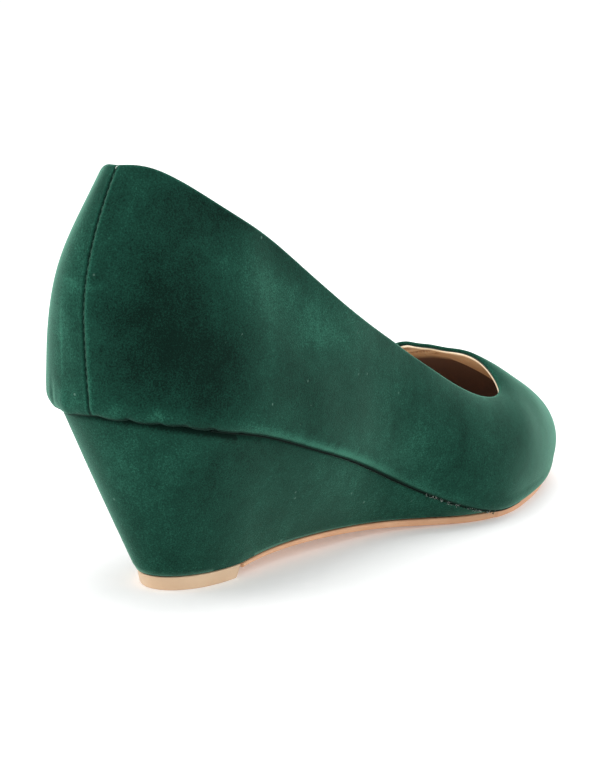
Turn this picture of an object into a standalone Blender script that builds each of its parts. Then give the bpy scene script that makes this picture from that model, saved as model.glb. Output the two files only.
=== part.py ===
"""A wedge pump: a right shoe with a closed round toe, a covered wedge and a thin outsole.

Metres, +Z up, toe towards +X, inner side towards +Y. The floor is at Z = 0.
"""

import bpy
import bmesh
import numpy as np

# The last: the form that the upper is pulled over
SHOE_LENGTH = 0.234
BALL_WIDTH = 0.0725
HEEL_HEIGHT = 0.0498
BACK_HEIGHT = 0.0590
TOE_SPRING = 0.0073

# The upper
WALL = 0.002
BULGE = 0.0029
ROLL_HEIGHT = 0.0045
LASTING_MARGIN = 0.007
INSIDE_ROUND = 0.001
RIM_CROWN = 0.0006

# The outsole and the wedge
SOLE_THICKNESS = 0.0022
SOLE_REAR_THICKNESS = 0.0011
SOLE_INSET = 0.0005
ARCH_RISE = 0.0017
FLAT_REAR = 0.64
FLAT_FRONT = 0.78
WEDGE_TIP = 0.655
WEDGE_INSET = 0.0008
WAIST_END = 0.72

# The wedge's foot and the top piece under it
FOOT_LENGTH = 0.0254
FOOT_WIDTH = 0.0250
FOOT_SETBACK = 0.0268
FOOT_ROUNDNESS = 2.1
TOP_PIECE_THICKNESS = 0.0038
TOP_PIECE_INSET = 0.0006
TOP_PIECE_TAPER = 0.0016
TOP_PIECE_SIDE_TAPER = 0.0006
BREAST_SLANT = 0.0010

# Between pieces that meet
GAP = 0.0003

# How finely the faces are cut
HALF_STATIONS = 50
WALL_STEPS = 11
ROLL_STEPS = 3
CROSS_STEPS = 4
WEDGE_RUNGS = 34
SOLE_RUNGS = 22
TOP_PIECE_STEPS = 12

# Each row is one section round the shoe, from the back of the heel to the tip of the toe.
# along and top_along are shares of SHOE_LENGTH: where the lower edge and the topline are.
# outer, inner, top_outer and top_inner are shares of BALL_WIDTH, from the centre line out.
# top_up is the share of BACK_HEIGHT that the topline stands above the lower edge's level.
# bulge is the share of BULGE that the wall stands out past the lower edge.
# rise and drop are shares of the wall's height, flare and sweep of BALL_WIDTH: how far the
# wall runs on straight up and out from its foot, and down and out from the topline.
COLUMNS = ("along", "outer", "inner", "top_along", "top_outer", "top_inner", "top_up",
           "bulge", "rise", "flare", "drop", "sweep")
SECTIONS = (
    (0.006, 0.000, 0.000, 0.030, 0.000, 0.000, 1.015, 0.95, 0.39, 0.055, 0.43, 0.20),
    (0.032, 0.207, 0.204, 0.055, 0.128, 0.126, 1.015, 0.86, 0.42, 0.040, 0.37, 0.13),
    (0.073, 0.303, 0.300, 0.099, 0.249, 0.248, 0.935, 0.92, 0.39, 0.025, 0.34, 0.07),
    (0.174, 0.364, 0.351, 0.173, 0.313, 0.310, 0.850, 0.90, 0.38, 0.020, 0.34, 0.03),
    (0.327, 0.366, 0.315, 0.307, 0.370, 0.355, 0.690, 0.90, 0.38, 0.020, 0.34, 0.03),
    (0.495, 0.366, 0.360, 0.459, 0.382, 0.370, 0.612, 0.95, 0.38, 0.030, 0.34, 0.05),
    (0.602, 0.496, 0.465, 0.603, 0.436, 0.385, 0.567, 0.90, 0.35, 0.030, 0.25, 0.10),
    (0.778, 0.472, 0.510, 0.722, 0.362, 0.305, 0.570, 0.75, 0.32, 0.030, 0.22, 0.19),
    (0.876, 0.384, 0.430, 0.748, 0.190, 0.165, 0.664, 0.71, 0.32, 0.028, 0.24, 0.28),
    (0.956, 0.195, 0.250, 0.755, 0.069, 0.080, 0.680, 0.67, 0.34, 0.028, 0.26, 0.35),
    (0.977, -0.010, 0.010, 0.755, 0.000, 0.000, 0.683, 0.70, 0.34, 0.030, 0.24, 0.37),
)

# The lower edge of the upper from the side: share of SHOE_LENGTH, share of the heel's height.
HEEL_LINE = (
    (0.00, 1.010),
    (0.12, 0.880),
    (0.27, 0.662),
    (0.42, 0.408),
    (0.55, 0.138),
    (0.64, 0.014),
    (0.70, 0.003),
    (0.82, 0.000),
)

TIP_ROW = len(SECTIONS) - 1
UP = np.array([0.0, 0.0, 1.0])

# Green velvet, tan soling and pale heel rubber, as linear colours
VELVET = (0.016, 0.080, 0.050)
SOCK = (0.60, 0.40, 0.24)
SOLING = (0.72, 0.39, 0.21)
HEEL_RUBBER = (0.68, 0.48, 0.31)


def clear_scene():
    """Starts from an empty scene."""
    for item in list(bpy.data.objects):
        bpy.data.objects.remove(item)


def finish(name, colour, roughness):
    """A plain material for one piece."""
    material = bpy.data.materials.new(name)
    material.use_nodes = True
    shader = material.node_tree.nodes["Principled BSDF"]
    shader.inputs["Base Color"].default_value = (*colour, 1.0)
    shader.inputs["Roughness"].default_value = roughness
    shader.inputs["Metallic"].default_value = 0.0
    return material


def spline_bends(step, values, closed):
    """Second derivatives of a smooth cubic through values, one row for each knot."""
    count = len(values)
    system = np.eye(count)
    right = np.zeros(values.shape)
    for i in range(0 if closed else 1, count if closed else count - 1):
        before, after = step[i - 1], step[i]
        system[i, i] = 2 * (before + after)
        system[i, i - 1] += before
        system[i, (i + 1) % count] += after
        slope_after = (values[(i + 1) % count] - values[i]) / after
        slope_before = (values[i] - values[i - 1]) / before
        right[i] = 6 * (slope_after - slope_before)
    return np.linalg.solve(system, right)


def smooth_curve(knots, values, at, closed=False):
    """A smooth curve through values at knots. A closed one has one more knot, its full turn."""
    knots = np.asarray(knots, float)
    values = np.asarray(values, float)
    values = values.reshape(len(values), -1)
    step = np.diff(knots)
    bends = spline_bends(step, values, closed)
    at = np.asarray(at, float) % knots[-1] if closed else np.clip(at, knots[0], knots[-1])
    here = np.clip(np.searchsorted(knots, at, side="right") - 1, 0, len(step) - 1)
    ahead = (here + 1) % len(values)
    size = step[here][:, None]
    past = (at - knots[here])[:, None]
    left = size - past
    return (
        (bends[here] * left**3 + bends[ahead] * past**3) / (6 * size)
        + (values[here] / size - bends[here] * size / 6) * left
        + (values[ahead] / size - bends[ahead] * size / 6) * past
    )


def ease(share):
    """0 to 1 with level ends."""
    return share * share * (3 - 2 * share)


def toe_spring(x):
    """How far the toe lifts off the floor at x."""
    share = np.clip((x / SHOE_LENGTH - FLAT_FRONT) / (1 - FLAT_FRONT), 0, 1)
    return TOE_SPRING * share**2


def feather_height(x):
    """Height of the upper's lower edge, the feather line, at x."""
    base = SOLE_THICKNESS + GAP
    line = np.array(HEEL_LINE)
    share = smooth_curve(line[:, 0], line[:, 1], x / SHOE_LENGTH)[:, 0]
    return base + toe_spring(x) + (HEEL_HEIGHT - base) * np.maximum(share, 0)


def breast():
    """Where the top piece ends and the outsole begins."""
    return FOOT_SETBACK + FOOT_LENGTH


def arch_share(x):
    """1 at the top piece's front, 0 from the flat of the forefoot on."""
    rear = FLAT_REAR * SHOE_LENGTH
    return np.clip((rear - x) / (rear - breast()), 0, 1)


def sole_under(x):
    """Height of the outsole's underside: the arch, the flat and the toe spring."""
    share = arch_share(x)
    start = TOP_PIECE_THICKNESS - SOLE_REAR_THICKNESS
    crown = 27 / 4 * share**2 * (1 - share)
    return start * ease(share) + ARCH_RISE * crown + toe_spring(x)


def sole_thickness(x):
    """The outsole thins towards the top piece."""
    return SOLE_THICKNESS + (SOLE_REAR_THICKNESS - SOLE_THICKNESS) * arch_share(x)


def inset(feather, out, by):
    """The lower edge moved inward in plan, still at the lower edge's own height."""
    points = feather - out * by
    points[:, 2] = feather_height(points[:, 0])
    return points


def section_loop():
    """The sections as one loop: down the outer side to the toe and back up the inner side."""
    column = dict(zip(COLUMNS, np.array(SECTIONS).T))
    sides = {}
    for side, sign in (("outer", -1), ("inner", 1)):
        sides[side] = np.column_stack([
            column["along"] * SHOE_LENGTH,
            sign * column[side] * BALL_WIDTH,
            column["top_along"] * SHOE_LENGTH,
            sign * column["top_" + side] * BALL_WIDTH,
            column["top_up"] * BACK_HEIGHT,
            column["bulge"] * BULGE,
            column["rise"],
            column["flare"] * BALL_WIDTH,
            column["drop"],
            column["sweep"] * BALL_WIDTH,
        ])
    return np.vstack([sides["outer"], sides["inner"][-2:0:-1]])


def stations():
    """The lower edge, the topline, the way out and the wall's values at each station."""
    loop = section_loop()
    plan = loop[:, :2]
    steps = np.linalg.norm(np.roll(plan, -1, axis=0) - plan, axis=1)
    knots = np.concatenate([[0], np.cumsum(steps)])
    at = np.concatenate([
        np.linspace(0, knots[TIP_ROW], HALF_STATIONS, endpoint=False),
        np.linspace(knots[TIP_ROW], knots[-1], HALF_STATIONS, endpoint=False),
    ])
    values = smooth_curve(knots, loop, at, closed=True)
    nudge = knots[-1] * 1e-4
    ahead = smooth_curve(knots, plan, at + nudge, closed=True)
    behind = smooth_curve(knots, plan, at - nudge, closed=True)
    along = (ahead - behind) / np.linalg.norm(ahead - behind, axis=1)[:, None]
    out = np.column_stack([along[:, 1], -along[:, 0], np.zeros(len(at))])
    feather = np.column_stack([values[:, :2], feather_height(values[:, 0])])
    top = np.column_stack([values[:, 2:4], feather_height(values[:, 2]) + values[:, 4]])
    return feather, top, out, values[:, 5:]


def outer_surface():
    """Rings of the upper's outside, from the lasting margin under the foot up to the topline."""
    feather, top, out, values = stations()
    bulge, rise, flare, drop, sweep = (value[:, None] for value in values.T)
    rings = [inset(feather, out, LASTING_MARGIN)]
    for angle in np.linspace(0, np.pi / 2, ROLL_STEPS, endpoint=False):
        rings.append(feather + out * bulge * np.sin(angle) + UP * ROLL_HEIGHT * (1 - np.cos(angle)))
    foot = feather + out * bulge + UP * ROLL_HEIGHT
    height = top[:, 2:] - foot[:, 2:]
    lower = foot + UP * rise * height + out * flare
    upper = top - UP * drop * height + out * sweep
    for t in np.linspace(0, 1, WALL_STEPS):
        ring = foot * (1 - t)**3 + 3 * lower * t * (1 - t)**2 + 3 * upper * t**2 * (1 - t) + top * t**3
        rings.append(ring)
    return np.array(rings)


def roll_inside(wall):
    """Rings inside the roll at a wall's thickness, from the margin up to the wall's foot."""
    feather, _, out, values = stations()
    bulge = values[:, :1]
    rings = []
    for angle in np.linspace(0, np.pi / 2, ROLL_STEPS + 1):
        reach = bulge - wall - INSIDE_ROUND * (1 - np.sin(angle))
        lift = wall + (ROLL_HEIGHT - wall) * (1 - np.cos(angle))
        rings.append(feather + out * reach + UP * lift)
    return np.array(rings)


def surface_normals(rings):
    """The way out of the wall at each point of the rings."""
    around = np.roll(rings, -1, axis=1) - np.roll(rings, 1, axis=1)
    climb = np.gradient(rings, axis=0)
    climb[0] = rings[1] - rings[0]
    normal = np.cross(around, climb)
    return normal / np.linalg.norm(normal, axis=2)[:, :, None]


def new_object(name, points, faces, material, sharp_degrees=40):
    """One closed piece from points and faces, its doubles merged and its faces turned out."""
    shape = bmesh.new()
    corners = [shape.verts.new(point) for point in points]
    for face in faces:
        shape.faces.new([corners[i] for i in face])
    bmesh.ops.remove_doubles(shape, verts=shape.verts, dist=1e-6)
    bmesh.ops.dissolve_degenerate(shape, edges=shape.edges, dist=1e-7)
    bmesh.ops.recalc_face_normals(shape, faces=shape.faces)
    mesh = bpy.data.meshes.new(name)
    shape.to_mesh(mesh)
    shape.free()
    mesh.shade_smooth()
    mesh.set_sharp_from_angle(angle=np.radians(sharp_degrees))
    piece = bpy.data.objects.new(name, mesh)
    piece.data.materials.append(material)
    bpy.context.scene.collection.objects.link(piece)
    return piece


def wrap_faces(rows, columns, rows_close):
    """Faces of a grid whose columns close on themselves, and whose rows may."""
    faces = []
    for row in range(rows if rows_close else rows - 1):
        after = (row + 1) % rows
        for column in range(columns):
            beside = (column + 1) % columns
            faces.append((
                row * columns + column,
                row * columns + beside,
                after * columns + beside,
                after * columns + column,
            ))
    return faces


def loft(name, rails, material, cap_rear=False, cap_front=False):
    """A solid from rails that run from heel to toe, listed round its cross-section.

    Where all the rails of an end meet in a line, the end closes by itself."""
    grid = np.array(rails).transpose(1, 0, 2)
    rungs, count = grid.shape[:2]
    faces = wrap_faces(rungs, count, rows_close=False)
    if cap_rear:
        faces.append(tuple(range(count)))
    if cap_front:
        faces.append(tuple((rungs - 1) * count + i for i in range(count)))
    return new_object(name, grid.reshape(-1, 3), faces, material)


def across(first, second, steps):
    """Rails between two edges, without the edges themselves."""
    shares = np.linspace(0, 1, steps + 1)[1:-1]
    return [first + (second - first) * share for share in shares]


def both_edges(points):
    """Splits a loop of stations into its outer and inner side, each from heel to toe."""
    outer = points[:HALF_STATIONS + 1]
    inner = np.vstack([points[:1], points[:HALF_STATIONS - 1:-1]])
    return outer, inner


def plate(name, lower, upper, material, cap_rear=False, cap_front=False):
    """A solid between a lower and an upper pair of edges."""
    rails = [upper[0], *across(upper[0], upper[1], CROSS_STEPS), upper[1]]
    rails += [lower[1], *across(lower[1], lower[0], CROSS_STEPS), lower[0]]
    return loft(name, rails, material, cap_rear, cap_front)


def build_upper(material):
    """The upper: a velvet and lining wall, open at the collar and turned in under the foot."""
    outside = outer_surface()
    inside = outside - surface_normals(outside) * WALL
    inside[0] = outside[0] + UP * WALL
    inside[1:ROLL_STEPS + 2] = roll_inside(WALL)
    top_way = outside[-1] - outside[-2]
    top_way /= np.linalg.norm(top_way, axis=1)[:, None]
    rim = (outside[-1] + inside[-1]) / 2 + top_way * RIM_CROWN
    rings = np.vstack([outside, rim[None], inside[::-1]])
    rows, columns = rings.shape[:2]
    return new_object("upper", rings.reshape(-1, 3), wrap_faces(rows, columns, rows_close=True), material)


def build_insole(material):
    """The insole: it fills the space inside the lasting margin and ends a gap short of the wall."""
    feather, _, out, _ = stations()
    filler = inset(feather, out, LASTING_MARGIN + GAP)
    levels = [both_edges(filler), both_edges(filler + UP * (WALL + GAP))]
    levels += [both_edges(ring) for ring in roll_inside(WALL + GAP)]
    rails = [outer for outer, _ in levels]
    rails += across(levels[-1][0], levels[-1][1], CROSS_STEPS)
    rails += [inner for _, inner in reversed(levels)]
    rails += across(levels[0][1], levels[0][0], CROSS_STEPS)
    return loft("insole", rails, material)


def foot_half_width(x):
    """Half the width of the wedge's foot at x: round at the back, straight at the front."""
    share = np.clip((x - FOOT_SETBACK) / FOOT_LENGTH, 0, 1)
    return FOOT_WIDTH / 2 * (1 - (1 - share)**FOOT_ROUNDNESS)**(1 / 2)


def drawn_in(x, wide):
    """Half the sole's width at x, where the upper's half width is wide: narrow at the waist."""
    share = ease(np.clip((x - breast()) / (WAIST_END * SHOE_LENGTH - breast()), 0, 1))
    return foot_half_width(x) * (1 - share) + wide * share


def run_along(edge, start, end, count):
    """Points at even steps along an edge, between two places on SHOE_LENGTH."""
    walked = np.concatenate([[0], np.cumsum(np.linalg.norm(np.diff(edge[:, :2], axis=0), axis=1))])
    first, last = np.interp([start, end], edge[:, 0], walked)
    at = np.linspace(first, last, count)
    return np.column_stack([np.interp(at, walked, column) for column in edge.T])


def wedge_edges():
    """The wedge's top edge under the upper and its lower edge, for the outer and inner side."""
    feather, _, out, _ = stations()
    tip = WEDGE_TIP * SHOE_LENGTH
    sides = []
    for edge in both_edges(inset(feather, out, WEDGE_INSET)):
        upper = run_along(edge, edge[0, 0], tip, WEDGE_RUNGS)
        upper[:, 2] = feather_height(upper[:, 0]) - GAP
        along = (upper[:, 0] - upper[0, 0]) / (tip - upper[0, 0])
        x = FOOT_SETBACK + (tip - FOOT_SETBACK) * along
        half = drawn_in(x, np.interp(x, upper[:, 0], np.abs(upper[:, 1])))
        level = np.where(x < breast(), TOP_PIECE_THICKNESS, sole_under(x) + sole_thickness(x)) + GAP
        lower = np.column_stack([x, np.sign(upper[:, 1]) * half, level])
        sides.append((upper, lower))
    return sides


def build_wedge(material):
    """The covered wedge: its top follows the upper, its sides run in to a small foot."""
    outer, inner = wedge_edges()
    return plate("wedge", (outer[1], inner[1]), (outer[0], inner[0]), material, cap_front=True)


def sole_plan():
    """The outsole's outline, for the outer and inner side, from the top piece to the toe."""
    feather, _, out, _ = stations()
    tip = WEDGE_TIP * SHOE_LENGTH
    sides = []
    for edge, (_, lower) in zip(both_edges(inset(feather, out, SOLE_INSET)), wedge_edges()):
        under = run_along(lower, breast() + GAP, tip, SOLE_RUNGS)
        fore = run_along(edge, tip, edge[-1, 0], SOLE_RUNGS)
        fore[:, 1] = np.sign(fore[:, 1]) * drawn_in(fore[:, 0], np.abs(fore[:, 1]))
        sides.append(np.vstack([under, fore[1:]]))
    return sides


def build_outsole(material):
    """The outsole: a thin sheet under forefoot and arch, flat where it meets the floor."""
    lower = []
    upper = []
    for side in sole_plan():
        under = sole_under(side[:, 0])
        lower.append(np.column_stack([side[:, :2], under]))
        upper.append(np.column_stack([side[:, :2], under + sole_thickness(side[:, 0])]))
    return plate("outsole", lower, upper, material, cap_rear=True)


def build_top_piece(material):
    """The top piece: the small wearing piece under the wedge's foot, narrower on the floor."""
    angle = np.linspace(0, np.pi / 2, TOP_PIECE_STEPS)
    half = foot_half_width(breast() - FOOT_LENGTH * np.cos(angle))
    half *= 1 - TOP_PIECE_INSET / (FOOT_WIDTH / 2)
    x = breast() - (FOOT_LENGTH - TOP_PIECE_INSET) * np.cos(angle)
    outline = np.vstack([np.column_stack([x, -half]), np.column_stack([x, half])[:0:-1]])
    count = len(outline)
    shorter = 1 - (TOP_PIECE_TAPER + BREAST_SLANT) / FOOT_LENGTH
    narrower = 1 - TOP_PIECE_SIDE_TAPER / (FOOT_WIDTH / 2)
    lower_x = breast() - BREAST_SLANT - (breast() - outline[:, 0]) * shorter
    lower = np.column_stack([lower_x, outline[:, 1] * narrower, np.zeros(count)])
    upper = np.column_stack([outline, np.full(count, TOP_PIECE_THICKNESS)])
    faces = wrap_faces(2, count, rows_close=False)
    faces += [tuple(range(count)), tuple(range(count, 2 * count))]
    return new_object("top_piece", np.vstack([lower, upper]), faces, material)


def centre_on_floor(pieces):
    """Moves the shoe so that the middle of its box is over the origin."""
    points = np.array([vertex.co for piece in pieces for vertex in piece.data.vertices])
    middle = (points.min(axis=0) + points.max(axis=0)) / 2
    for piece in pieces:
        for vertex in piece.data.vertices:
            vertex.co.x -= middle[0]
            vertex.co.y -= middle[1]


clear_scene()
velvet = finish("velvet", VELVET, 0.85)
centre_on_floor([
    build_upper(velvet),
    build_insole(finish("sock", SOCK, 0.6)),
    build_wedge(velvet),
    build_outsole(finish("soling", SOLING, 0.55)),
    build_top_piece(finish("heel_rubber", HEEL_RUBBER, 0.5)),
])
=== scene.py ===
import bmesh
import bpy
import numpy as np
from mathutils import Matrix, Vector


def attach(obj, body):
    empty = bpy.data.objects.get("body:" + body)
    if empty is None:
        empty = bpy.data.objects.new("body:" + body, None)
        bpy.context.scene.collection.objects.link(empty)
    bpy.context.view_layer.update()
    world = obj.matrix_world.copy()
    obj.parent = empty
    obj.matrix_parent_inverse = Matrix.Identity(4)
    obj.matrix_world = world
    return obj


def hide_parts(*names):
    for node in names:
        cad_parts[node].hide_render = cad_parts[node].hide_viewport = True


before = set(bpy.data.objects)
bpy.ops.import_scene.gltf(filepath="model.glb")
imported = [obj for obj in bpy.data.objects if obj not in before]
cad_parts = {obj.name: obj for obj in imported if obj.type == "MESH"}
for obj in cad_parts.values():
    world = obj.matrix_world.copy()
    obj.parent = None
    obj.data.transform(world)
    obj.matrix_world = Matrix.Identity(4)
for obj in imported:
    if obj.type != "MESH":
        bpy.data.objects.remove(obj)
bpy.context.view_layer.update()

# The upper's form.
# A stiff-backed right shoe upper, pulled over a last: its lower edge, topline and wall follow
# one table of sections, so that velvet, lining and sole all meet on the same lines.

SHOE_LENGTH = 0.234
BALL_WIDTH = 0.0725
HEEL_HEIGHT = 0.0498
BACK_HEIGHT = 0.0590
TOE_SPRING = 0.0073
BULGE = 0.0029
ROLL_HEIGHT = 0.0045
LASTING_MARGIN = 0.007
INSIDE_ROUND = 0.001
WALL = 0.002
SOLE_THICKNESS = 0.0022
GAP = 0.0003

# One row for each section, from the back of the heel to the tip of the toe: along, outer, inner,
# top_along, top_outer, top_inner, top_up, bulge, rise, flare, drop and sweep. along and
# top_along are shares of SHOE_LENGTH, the four widths of BALL_WIDTH, top_up of BACK_HEIGHT and
# bulge of BULGE. rise and drop are shares of the wall's height, flare and sweep of BALL_WIDTH:
# how the wall leaves its foot and how it comes up to the topline.
SECTIONS = (
    (0.006, 0.000, 0.000, 0.030, 0.000, 0.000, 1.015, 0.95, 0.39, 0.055, 0.43, 0.20),
    (0.032, 0.207, 0.204, 0.055, 0.128, 0.126, 1.015, 0.86, 0.42, 0.040, 0.37, 0.13),
    (0.073, 0.303, 0.300, 0.099, 0.249, 0.248, 0.935, 0.92, 0.39, 0.025, 0.34, 0.07),
    (0.174, 0.364, 0.351, 0.173, 0.313, 0.310, 0.850, 0.90, 0.38, 0.020, 0.34, 0.03),
    (0.327, 0.366, 0.315, 0.307, 0.370, 0.355, 0.690, 0.90, 0.38, 0.020, 0.34, 0.03),
    (0.495, 0.366, 0.360, 0.459, 0.382, 0.370, 0.612, 0.95, 0.38, 0.030, 0.34, 0.05),
    (0.602, 0.496, 0.465, 0.603, 0.436, 0.385, 0.567, 0.90, 0.35, 0.030, 0.25, 0.10),
    (0.778, 0.472, 0.510, 0.724, 0.368, 0.305, 0.570, 0.75, 0.32, 0.030, 0.22, 0.19),
    (0.876, 0.384, 0.430, 0.752, 0.214, 0.168, 0.664, 0.71, 0.32, 0.028, 0.24, 0.28),
    (0.956, 0.195, 0.250, 0.755, 0.069, 0.080, 0.680, 0.67, 0.34, 0.028, 0.26, 0.35),
    (0.977, -0.010, 0.010, 0.755, 0.000, 0.000, 0.683, 0.70, 0.34, 0.030, 0.24, 0.37),
)
TIP_ROW = len(SECTIONS) - 1

# The lower edge from the side: share of SHOE_LENGTH, share of the heel's height
HEEL_LINE = (
    (0.00, 1.010), (0.12, 0.880), (0.27, 0.662), (0.42, 0.408),
    (0.55, 0.138), (0.64, 0.014), (0.70, 0.003), (0.82, 0.000),
)
FLAT_FRONT = 0.78
UP = np.array([0.0, 0.0, 1.0])

# The solids' own stations and rings, from which the frame's centre is worked out
SOLID_STATIONS = 60
SOLID_RINGS = 12


def spline_bends(step, values, closed):
    """Second derivatives of a smooth cubic through values, one row for each knot."""
    count = len(values)
    system = np.eye(count)
    right = np.zeros(values.shape)
    for i in range(0 if closed else 1, count if closed else count - 1):
        before, after = step[i - 1], step[i]
        system[i, i] = 2 * (before + after)
        system[i, i - 1] += before
        system[i, (i + 1) % count] += after
        slope_after = (values[(i + 1) % count] - values[i]) / after
        slope_before = (values[i] - values[i - 1]) / before
        right[i] = 6 * (slope_after - slope_before)
    return np.linalg.solve(system, right)


def smooth_curve(knots, values, at, closed=False):
    """A smooth curve through values at knots. A closed one has one more knot, its full turn."""
    knots = np.asarray(knots, float)
    values = np.asarray(values, float)
    values = values.reshape(len(values), -1)
    step = np.diff(knots)
    bends = spline_bends(step, values, closed)
    at = np.asarray(at, float) % knots[-1] if closed else np.clip(at, knots[0], knots[-1])
    here = np.clip(np.searchsorted(knots, at, side="right") - 1, 0, len(step) - 1)
    ahead = (here + 1) % len(values)
    size = step[here][:, None]
    past = (at - knots[here])[:, None]
    left = size - past
    return (
        (bends[here] * left**3 + bends[ahead] * past**3) / (6 * size)
        + (values[here] / size - bends[here] * size / 6) * left
        + (values[ahead] / size - bends[ahead] * size / 6) * past
    )


def ease(value, start=0.0, end=1.0):
    """0 to 1 with level ends, as a value goes from start to end, either way."""
    share = np.clip((value - start) / (end - start), 0, 1)
    return share * share * (3 - 2 * share)


def near(value, reach, place=0.0):
    """1 where a value is at its place, and fading out on both sides of it over a reach."""
    return np.exp(-((value - place) / reach)**2)


def unit(vectors):
    """The vectors at a length of 1."""
    return vectors / np.maximum(np.linalg.norm(vectors, axis=-1, keepdims=True), 1e-12)


def walk_length(points):
    """The way walked from the first row of points to each row."""
    steps = np.linalg.norm(np.diff(points, axis=0), axis=-1)
    return np.concatenate([np.zeros((1, *steps.shape[1:])), np.cumsum(steps, axis=0)])


def toe_spring(x):
    """How far the toe lifts off the floor at x."""
    share = np.clip((x / SHOE_LENGTH - FLAT_FRONT) / (1 - FLAT_FRONT), 0, 1)
    return TOE_SPRING * share**2


def feather_height(x):
    """Height of the upper's lower edge at x."""
    base = SOLE_THICKNESS + GAP
    line = np.array(HEEL_LINE)
    share = smooth_curve(line[:, 0], line[:, 1], x / SHOE_LENGTH)[:, 0]
    return base + toe_spring(x) + (HEEL_HEIGHT - base) * np.maximum(share, 0)


def section_loop():
    """The sections as one loop: down the outer side to the toe and back up the inner side."""
    (along, outer, inner, top_along, top_outer, top_inner, top_up,
     bulge, rise, flare, drop, sweep) = np.array(SECTIONS).T
    sides = [np.column_stack([
        along * SHOE_LENGTH, wide * BALL_WIDTH, top_along * SHOE_LENGTH, top_wide * BALL_WIDTH,
        top_up * BACK_HEIGHT, bulge * BULGE, rise, flare * BALL_WIDTH, drop, sweep * BALL_WIDTH,
    ]) for wide, top_wide in ((-outer, -top_outer), (inner, top_inner))]
    return np.vstack([sides[0], sides[1][-2:0:-1]])


def stations(half, crowd=0.0):
    """Lower edge, topline, way out and wall values, round from the back seam.

    crowd, from 0 to 1, draws the stations in towards the back seam."""
    loop = section_loop()
    plan = loop[:, :2]
    knots = walk_length(np.vstack([plan, plan[:1]]))
    share = np.arange(half) / half
    share = share * (1 - crowd) + crowd * share**2
    tip, turn = knots[TIP_ROW], knots[-1]
    at = np.concatenate([tip * share, [tip], turn - (turn - tip) * share[:0:-1]])
    values = smooth_curve(knots, loop, at, closed=True)
    nudge = turn * 1e-4
    ahead = smooth_curve(knots, plan, at + nudge, closed=True)
    behind = smooth_curve(knots, plan, at - nudge, closed=True)
    along = unit(ahead - behind)
    out = np.column_stack([along[:, 1], -along[:, 0], np.zeros(len(at))])
    feather = np.column_stack([values[:, :2], feather_height(values[:, 0])])
    top = np.column_stack([values[:, 2:4], feather_height(values[:, 2]) + values[:, 4]])
    return feather, top, out, values[:, 5:]


def inset(feather, out, by):
    """The lower edge moved inward in plan, still at the lower edge's own height."""
    points = feather - out * by
    points[:, 2] = feather_height(points[:, 0])
    return points


def wall_rings(form, shares):
    """Rings up the wall's outside, from its foot at 0 to the topline at 1."""
    feather, top, out, values = form
    bulge, rise, flare, drop, sweep = (value[:, None] for value in values.T)
    foot = feather + out * bulge + UP * ROLL_HEIGHT
    height = top[:, 2:] - foot[:, 2:]
    lower = foot + UP * rise * height + out * flare
    upper = top - UP * drop * height + out * sweep
    return [
        foot * (1 - t)**3 + 3 * lower * t * (1 - t)**2 + 3 * upper * t**2 * (1 - t) + top * t**3
        for t in shares
    ]


def roll_rings(form, depth, angles):
    """Rings round the roll at the wall's foot, at a depth under its outside."""
    feather, _, out, values = form
    bulge = values[:, :1]
    rings = []
    for angle in angles:
        if depth:
            reach = bulge - depth - INSIDE_ROUND * (1 - np.sin(angle))
        else:
            reach = bulge * np.sin(angle)
        lift = depth + (ROLL_HEIGHT - depth) * (1 - np.cos(angle))
        rings.append(feather + out * reach + UP * lift)
    return rings


def surface_normals(rings):
    """The way out of the surface at each point of the rings."""
    around = np.roll(rings, -1, axis=1) - np.roll(rings, 1, axis=1)
    return unit(np.cross(around, np.gradient(rings, axis=0)))


solid_wall = np.vstack(wall_rings(stations(SOLID_STATIONS), np.linspace(0, 1, SOLID_RINGS)))
CENTRE = (solid_wall.min(axis=0) + solid_wall.max(axis=0)) / 2
CENTRE[2] = 0

# Angles round the inside of the roll, from the wall down
INSIDE_ROLL = np.linspace(np.pi / 2, 0, 5)[1:]


def placed(name, data):
    """A new object with its data, linked into the scene."""
    item = bpy.data.objects.new(name, data)
    bpy.context.scene.collection.objects.link(item)
    return item


def new_piece(name, points, faces, attributes=(), sharp_degrees=60):
    """A mesh piece with its doubles merged, its faces turned out and its values at its points."""
    mesh = bpy.data.meshes.new(name)
    mesh.from_pydata([tuple(point) for point in np.asarray(points) - CENTRE], [], faces)
    for label, values in attributes:
        layer = mesh.attributes.new(label, "FLOAT", "POINT")
        layer.data.foreach_set("value", np.ravel(values).astype(np.float32))
    shape = bmesh.new()
    shape.from_mesh(mesh)
    bmesh.ops.remove_doubles(shape, verts=shape.verts, dist=1e-6)
    bmesh.ops.dissolve_degenerate(shape, edges=shape.edges, dist=1e-7)
    bmesh.ops.recalc_face_normals(shape, faces=shape.faces)
    shape.to_mesh(mesh)
    shape.free()
    mesh.shade_smooth()
    mesh.set_sharp_from_angle(angle=np.radians(sharp_degrees))
    return placed(name, mesh)


def wrap_faces(rows, columns, rows_close):
    """Faces of a grid whose columns close on themselves, and whose rows may."""
    here = np.arange(rows * columns).reshape(rows, columns)
    beside = np.roll(here, -1, axis=1)
    faces = np.stack([here, beside, np.roll(beside, -1, axis=0), np.roll(here, -1, axis=0)], axis=-1)
    return (faces if rows_close else faces[:-1]).reshape(-1, 4).tolist()


def wrapped(name, rings, attributes):
    """A piece from rings, of which the last joins the first again."""
    faces = wrap_faces(*rings.shape[:2], rows_close=True)
    return new_piece(name, rings.reshape(-1, 3), faces, attributes)


# The velvet.
# Deep green cotton velvet. Its pile catches light at a slant and goes dark face on, and handling leaves it in
# lighter and darker strokes. Each piece also carries painted highlights and painted shade, added to those
# strokes. A little pale lint clings to it.

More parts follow.
